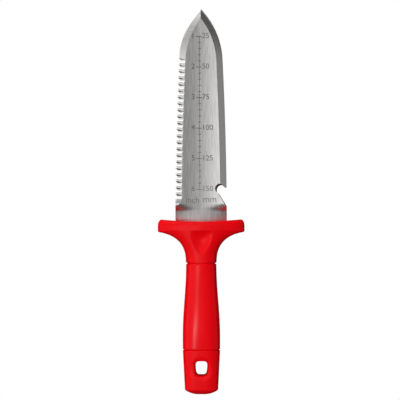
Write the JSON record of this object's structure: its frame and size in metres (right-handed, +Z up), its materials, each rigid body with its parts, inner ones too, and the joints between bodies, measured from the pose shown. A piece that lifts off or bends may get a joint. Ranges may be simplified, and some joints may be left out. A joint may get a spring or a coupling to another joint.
{
  "type": "hand trowel",
  "caption": "Digging knife hand trowel: dished steel blade with one serrated edge, a twine notch, a moulded handle with cross guard, soft grip and hanging hole.",
  "frame": {"origin": "on the resting plane under the middle of the outline, with the tool on its back", "axes": "+Y along the blade towards the point, +Z up out of the hollow face of the blade, +X to the right with the serrated edge on the left"},
  "size_m": [0.071, 0.3152, 0.024],
  "materials": {
    "blade_steel": "stamped stainless sheet, lengthwise brushed, bevels ground",
    "core_plastic": "hidden inner moulding",
    "hard_red": "moulded polypropylene, satin gloss",
    "soft_red": "moulded thermoplastic rubber, fine matt"
  },
  "bodies": {
    "root": {"blade": "blade_steel", "tang_core": "core_plastic", "guard": "hard_red", "grip_sleeve": "soft_red", "butt_cap": "hard_red"}
  },
  "joints": []
}
